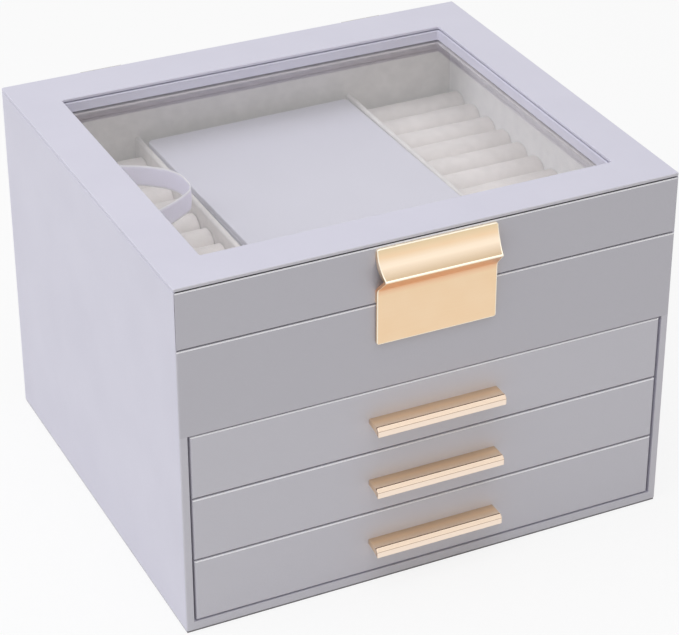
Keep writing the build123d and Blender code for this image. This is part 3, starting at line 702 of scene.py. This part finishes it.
# %% Rolls in a row, with dents
smallest, tilt = (1.0, 0.985, 0.98), (0.008, 0.002, 0.001)
dent_width = 18 * MM
step = add_node(roll_tree, "ShaderNodeCombineXYZ", links={"Y": roll_in["Pitch"]})
places = {"Count": roll_in["Rolls"], "Start Location": roll_in["Start"], "Offset": step.outputs[0]}
row = add_node(roll_tree, "GeometryNodeMeshLine", links=places)
size_range = {"data_type": "FLOAT_VECTOR", 0: smallest, 1: (1.0, 1.0, 1.0)}
sizes = add_node(roll_tree, "FunctionNodeRandomValue", size_range, {"Seed": roll_in["Seed"]})
tilt_range = {"data_type": "FLOAT_VECTOR", 0: tuple(-angle for angle in tilt), 1: tilt}
tilts = add_node(roll_tree, "FunctionNodeRandomValue", tilt_range, {"Seed": roll_in["Seed"]})
copies = {"Points": row.outputs[0], "Instance": roll.outputs[0]}
copies.update({"Rotation": tilts.outputs[0], "Scale": sizes.outputs[0]})
rolls = add_node(roll_tree, "GeometryNodeInstanceOnPoints", links=copies)
rolls = add_node(roll_tree, "GeometryNodeRealizeInstances", links={0: rolls.outputs[0]})

spot = add_node(roll_tree, "GeometryNodeInputPosition")
soft = {"Scale": 1 / dent_width, "Detail": 1.0}
dents = add_node(roll_tree, "ShaderNodeTexNoise", soft, {"Vector": spot.outputs[0]})
inwards = {"From Min": 0.3, "From Max": 0.7, "To Min": -1.0, "To Max": 0.0}
depth = add_node(roll_tree, "ShaderNodeMapRange", inwards, {"Value": dents.outputs[0]}).outputs["Result"]
depth = add_node(roll_tree, "ShaderNodeMath", {"operation": "MULTIPLY"}, {0: depth, 1: roll_in["Dent"]})
skin = add_node(roll_tree, "GeometryNodeInputNormal")
pressed = {0: skin.outputs[0], "Scale": depth.outputs[0]}
push = add_node(roll_tree, "ShaderNodeVectorMath", {"operation": "SCALE"}, pressed)
moved = {"Geometry": rolls.outputs[0], "Offset": push.outputs[0]}
rolls = add_node(roll_tree, "GeometryNodeSetPosition", links=moved)
rolls = add_node(roll_tree, "GeometryNodeSetShadeSmooth", links={"Geometry": rolls.outputs[0]})
covered = {"Geometry": rolls.outputs[0], "Material": roll_in["Finish"]}
rolls = add_node(roll_tree, "GeometryNodeSetMaterial", links=covered)
add_node(roll_tree, "NodeGroupOutput", links={0: rolls.outputs[0]})
print("ring roll tree:", len(roll_tree.nodes), "nodes")

# %% [markdown]
# The tree runs once for each side bay. The solid that it replaces gives the row's place and size, and the
# rolls are as wide as their spacing, so that they touch. Both rows are padded pieces that ride on the
# case.

# %% Grow the ring rolls
roll_count = 12
tuck_length, dent_depth = 2.2 * MM, 0.35 * MM
for side, seed in (("left", 3), ("right", 8)):
    low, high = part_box(f"ring_rolls_{side}")
    pitch = (high.y - low.y) / roll_count
    height = high.z - low.z
    rolls = grow(
        f"velvet_ring_rolls_{side}",
        roll_tree,
        {
            "Rolls": roll_count,
            "Pitch": pitch,
            "Width": pitch,
            "Height": height,
            "Length": high.x - low.x,
            "Tuck": tuck_length,
            "Dent": dent_depth,
            "Seed": seed,
            "Start": (low.x, low.y + pitch / 2, low.z + height / 2),
            "Finish": finishes["ring_velvet"],
        },
    )
    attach(rolls, "case")
    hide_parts(f"ring_rolls_{side}")
    reach = [[end(axis) for axis in zip(*(v.co for v in rolls.data.vertices))] for end in (min, max)]
    print(side, "rolls:", len(rolls.data.polygons), "faces, from and to in mm", *map(in_mm, reach))

# %% [markdown]
# ## Drawer pads
# The floor of each drawer is a velvet pad that swells between the dividers. Its rule is simple, so a
# geometry tree makes it: a flat block whose top rises in every cell, and stays down along the dividers.
# Two sine waves, one for the columns and one for the rows, give that shape, and their square roots make
# its tops rounder.

# %% Drawer pad tree
grid_columns, grid_rows = 97, 73
pad_tree, pad_in = new_growth(
    "drawer pad",
    {
        "Size": "NodeSocketVector",
        "Middle": "NodeSocketVector",
        "Columns": "NodeSocketFloat",
        "Rows": "NodeSocketFloat",
        "Swell": "NodeSocketFloat",
        "Finish": "NodeSocketMaterial",
    },
)
grid = {"Vertices X": grid_columns, "Vertices Y": grid_rows, "Vertices Z": 2}
slab = add_node(pad_tree, "GeometryNodeMeshCube", grid, {"Size": pad_in["Size"]})
spot = add_node(pad_tree, "GeometryNodeInputPosition")
by_size = {0: spot.outputs[0], 1: pad_in["Size"]}
shares = add_node(pad_tree, "ShaderNodeVectorMath", {"operation": "DIVIDE"}, by_size)
from_corner = {"operation": "ADD", 1: (0.5, 0.5, 0.5)}
shares = add_node(pad_tree, "ShaderNodeVectorMath", from_corner, {0: shares.outputs[0]})
shares = add_node(pad_tree, "ShaderNodeSeparateXYZ", links={0: shares.outputs[0]}).outputs
waves, times = [], {"operation": "MULTIPLY"}
for axis, cells in (("X", "Columns"), ("Y", "Rows")):
    wave = add_node(pad_tree, "ShaderNodeMath", times, {0: shares[axis], 1: pad_in[cells]})
    for rule in (
        {"operation": "MULTIPLY", 1: math.pi},
        {"operation": "SINE"},
        {"operation": "ABSOLUTE"},
        {"operation": "POWER", 1: 0.5},
    ):
        wave = add_node(pad_tree, "ShaderNodeMath", rule, {0: wave.outputs[0]})
    waves.append(wave.outputs[0])
hill = add_node(pad_tree, "ShaderNodeMath", times, {0: waves[0], 1: waves[1]})
hill = add_node(pad_tree, "ShaderNodeMath", times, {0: hill.outputs[0], 1: pad_in["Swell"]})
rise = add_node(pad_tree, "ShaderNodeCombineXYZ", links={"Z": hill.outputs[0]})
upper = add_node(pad_tree, "FunctionNodeCompare", {"operation": "GREATER_THAN", 1: 0.5}, {0: shares["Z"]})
swollen = {"Geometry": slab.outputs[0], "Selection": upper.outputs[0], "Offset": rise.outputs[0]}
slab = add_node(pad_tree, "GeometryNodeSetPosition", links=swollen)
moved = {"Geometry": slab.outputs[0], "Translation": pad_in["Middle"]}
slab = add_node(pad_tree, "GeometryNodeTransform", links=moved)
slab = add_node(pad_tree, "GeometryNodeRealizeInstances", links={0: slab.outputs[0]})
covered = {"Geometry": slab.outputs[0], "Material": pad_in["Finish"]}
slab = add_node(pad_tree, "GeometryNodeSetMaterial", links=covered)
add_node(pad_tree, "NodeGroupOutput", links={0: slab.outputs[0]})
print("drawer pad tree:", len(pad_tree.nodes), "nodes")

# %% [markdown]
# The drawers are divided into fewer and larger cells from the top down, and each pad swells in the cells
# of its own drawer. A pad rides on its drawer, so it slides out with it.

# %% Grow the drawer pads
cells_by_drawer = ((4, 3), (3, 2), (2, 1))
pad_swell = 1.2 * MM
for number, (columns, rows) in enumerate(cells_by_drawer, start=1):
    low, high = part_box(f"drawer_{number}_pad")
    pad = grow(
        f"velvet_pad_{number}",
        pad_tree,
        {
            "Size": high - low,
            "Middle": (low + high) / 2,
            "Columns": float(columns),
            "Rows": float(rows),
            "Swell": pad_swell,
            "Finish": finishes["velvet"],
        },
    )
    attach(pad, f"drawer_{number}")
    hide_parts(f"drawer_{number}_pad")
    print("pad", number, len(pad.data.polygons), "faces")

# %% [markdown]
# ## The ribbon lid stay
# A ribbon 11 mm wide and 154 mm long holds the lid when it is open. Closed, it folds over in a loop above
# the left rolls, standing on its edge. Its route is a smooth curve through points listed along the loop.
# They are written as shares: how far out from the left lining, and how far back from the box's middle.

# %% Route of the ribbon
lining_x = -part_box("left_lining")[1].x
box_depth = -2 * front_y
ribbon_shares = (
    (0.0059, 0.337), (0.0489, 0.285), (0.1361, 0.227), (0.2451, 0.187), (0.3514, 0.151),
    (0.4206, 0.106), (0.436, 0.062), (0.4206, 0.021), (0.3625, -0.0065), (0.2524, -0.0385),
    (0.1444, -0.0575), (0.0738, -0.05), (0.026, -0.0235),
)
route = bpy.data.curves.new("ribbon route", "CURVE")
route.dimensions = "3D"
line = route.splines.new("BEZIER")
line.bezier_points.add(len(ribbon_shares) - 1)
for point, (out, back) in zip(line.bezier_points, ribbon_shares):
    point.co = ((out - 1) * lining_x, back * box_depth, 0)
    point.handle_left_type = point.handle_right_type = "AUTO"
line.resolution_u = 10
route_object = bpy.data.objects.new("ribbon route", route)
scene.collection.objects.link(route_object)
stations = [vertex.co.copy() for vertex in plain_mesh(route_object).vertices]
bpy.data.objects.remove(route_object)
ribbon_length = sum((b - a).length for a, b in zip(stations, stations[1:]))
print("ribbon stations:", len(stations), "length in mm:", in_mm([ribbon_length]))

# %% [markdown]
# The cloth is a strip of faces along that curve, with U and V counted in metres of real ribbon. It bows
# by a quarter of a millimetre across its width, because a woven edge is a little tighter than the middle,
# and Solidify gives it its thickness.

# %% Ribbon mesh
rows_across = 8
ribbon_bow, ribbon_thickness = 0.25 * MM, 0.5 * MM
solid_low, solid_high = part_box("lid_stay_ribbon")
foot, top = Vector((0, 0, solid_low.z)), Vector((0, 0, solid_high.z))
points, faces, laid, run = [], [], [], 0.0
for index, here in enumerate(stations):
    before, after = stations[max(index - 1, 0)], stations[min(index + 1, len(stations) - 1)]
    heading = (after - before).normalized()
    side = Vector((-heading.y, heading.x, 0))
    run += (here - before).length
    for row in range(rows_across + 1):
        share = row / rows_across
        bow = ribbon_bow * math.sin(math.pi * share)
        points.append(here + side * bow + foot.lerp(top, share))
        laid.append((run, share * ribbon_width))
for index in range(len(stations) - 1):
    for row in range(rows_across):
        first = index * (rows_across + 1) + row
        faces.append((first, first + 1, first + rows_across + 2, first + rows_across + 1))
strip = bpy.data.meshes.new("grosgrain_lid_stay")
strip.from_pydata(points, [], faces)
cloth_map = strip.uv_layers.new(name="ribbon")
for loop in strip.loops:
    cloth_map.data[loop.index].uv = laid[loop.vertex_index]
ribbon = bpy.data.objects.new("grosgrain_lid_stay", strip)
scene.collection.objects.link(ribbon)
thicken = ribbon.modifiers.new("thickness", "SOLIDIFY")
thicken.thickness = ribbon_thickness
thicken.offset = 0
whole = plain_mesh(ribbon)
ribbon.modifiers.remove(thicken)
ribbon.data = whole
whole.shade_smooth()
whole.materials.clear()
whole.materials.append(finishes["ribbon"])
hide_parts("lid_stay_ribbon")
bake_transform(ribbon)
print("ribbon faces:", len(whole.polygons), "in mm from", in_mm(solid_low), "to", in_mm(solid_high))

# %% [markdown]
# ## Floor, light and background
# The box stands in a white studio. A softbox 3 m wide above lights the top and reaches through the glass,
# and one on the left lights that side and the lining across from it. The floor is pale, and to the camera
# and to reflections it is lifted towards pure white, which thins the box's shadow but keeps it. The world
# shows pure white to them too, but fills the shadows with two fifths of that.

# %% Floor
floor_reach = 4.0
floor_lift = 0.84
white = {"Color": (1, 1, 1, 1), "Strength": 1.0}


def seen_directly(tree):
    """1 for rays from the camera and for those that a mirror or a pane sends on, and 0 for all others."""
    ray = add_node(tree, "ShaderNodeLightPath").outputs
    seen = ray["Is Camera Ray"]
    for kind in ("Is Glossy Ray", "Is Transmission Ray"):
        seen = add_node(tree, "ShaderNodeMath", {"operation": "MAXIMUM"}, {0: seen, 1: ray[kind]}).outputs[0]
    return seen


floor_mesh = bpy.data.meshes.new("studio floor")
corners = [(x * floor_reach, y * floor_reach, 0) for x, y in ((-1, -1), (1, -1), (1, 1), (-1, 1))]
floor_mesh.from_pydata(corners, [], [(0, 1, 2, 3)])
floor = bpy.data.objects.new("studio_floor", floor_mesh)
scene.collection.objects.link(floor)
floor_paint, floor_tree = new_finish("matt white studio floor")
matt = add_node(floor_tree, "ShaderNodeBsdfDiffuse", {"Color": colour("#F2F2F2")})
bright = add_node(floor_tree, "ShaderNodeEmission", white)
scaled = {"operation": "MULTIPLY", 1: floor_lift}
lift = add_node(floor_tree, "ShaderNodeMath", scaled, {0: seen_directly(floor_tree)})
lifted = {0: lift.outputs[0], 1: matt.outputs[0], 2: bright.outputs[0]}
close_finish(floor_tree, add_node(floor_tree, "ShaderNodeMixShader", links=lifted).outputs[0])
floor_mesh.materials.append(floor_paint)
floor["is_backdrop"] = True
print("floor side in m:", 2 * floor_reach)

# %% World
world = bpy.data.worlds.new("white studio")
world.use_nodes = True
scene.world = world
sky = world.node_tree
sky.nodes.clear()
fill = add_node(sky, "ShaderNodeBackground", {"Color": colour("#FFFDF6"), "Strength": 0.4})
plain = add_node(sky, "ShaderNodeBackground", white)
both = {0: seen_directly(sky), 1: fill.outputs[0], 2: plain.outputs[0]}
sky_mix = add_node(sky, "ShaderNodeMixShader", links=both)
add_node(sky, "ShaderNodeOutputWorld", links={"Surface": sky_mix.outputs[0]})
print("world:", world.name, "with", len(sky.nodes), "nodes")

# %% Softboxes
box_middle = Vector((0, 0, 0.1))
softbox_distance = 2.4


def softbox(name, direction, side, power, tint):
    """A square softbox that faces the box from a direction."""
    lamp = bpy.data.lights.new(name, "AREA")
    lamp.shape = "SQUARE"
    lamp.size = side
    lamp.energy = power
    lamp.color = colour(tint)[:3]
    holder = bpy.data.objects.new(name, lamp)
    towards = Vector(direction).normalized()
    holder.location = box_middle + softbox_distance * towards
    holder.rotation_euler = towards.to_track_quat("Z", "Y").to_euler()
    scene.collection.objects.link(holder)
    print(name, "at", [round(value, 2) for value in holder.location], "power", power)


softbox("top softbox", (-0.2, -0.12, 0.97), 3.0, 38.0, "#F6F8FF")
softbox("left softbox", (-1.0, 0.0, 0.65), 1.6, 12.3, "#F6F8FF")
scene.view_settings.view_transform = "Standard"

# %% [markdown]
# ## The sizes at the end
# The dressed box must stay in the space that its solids take. The far corner of each is printed side
# by side.

# %% Write the sizes and finish
box_low, box_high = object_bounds()
print("solids to", in_mm(cad_high), "dressed to", in_mm(box_high))
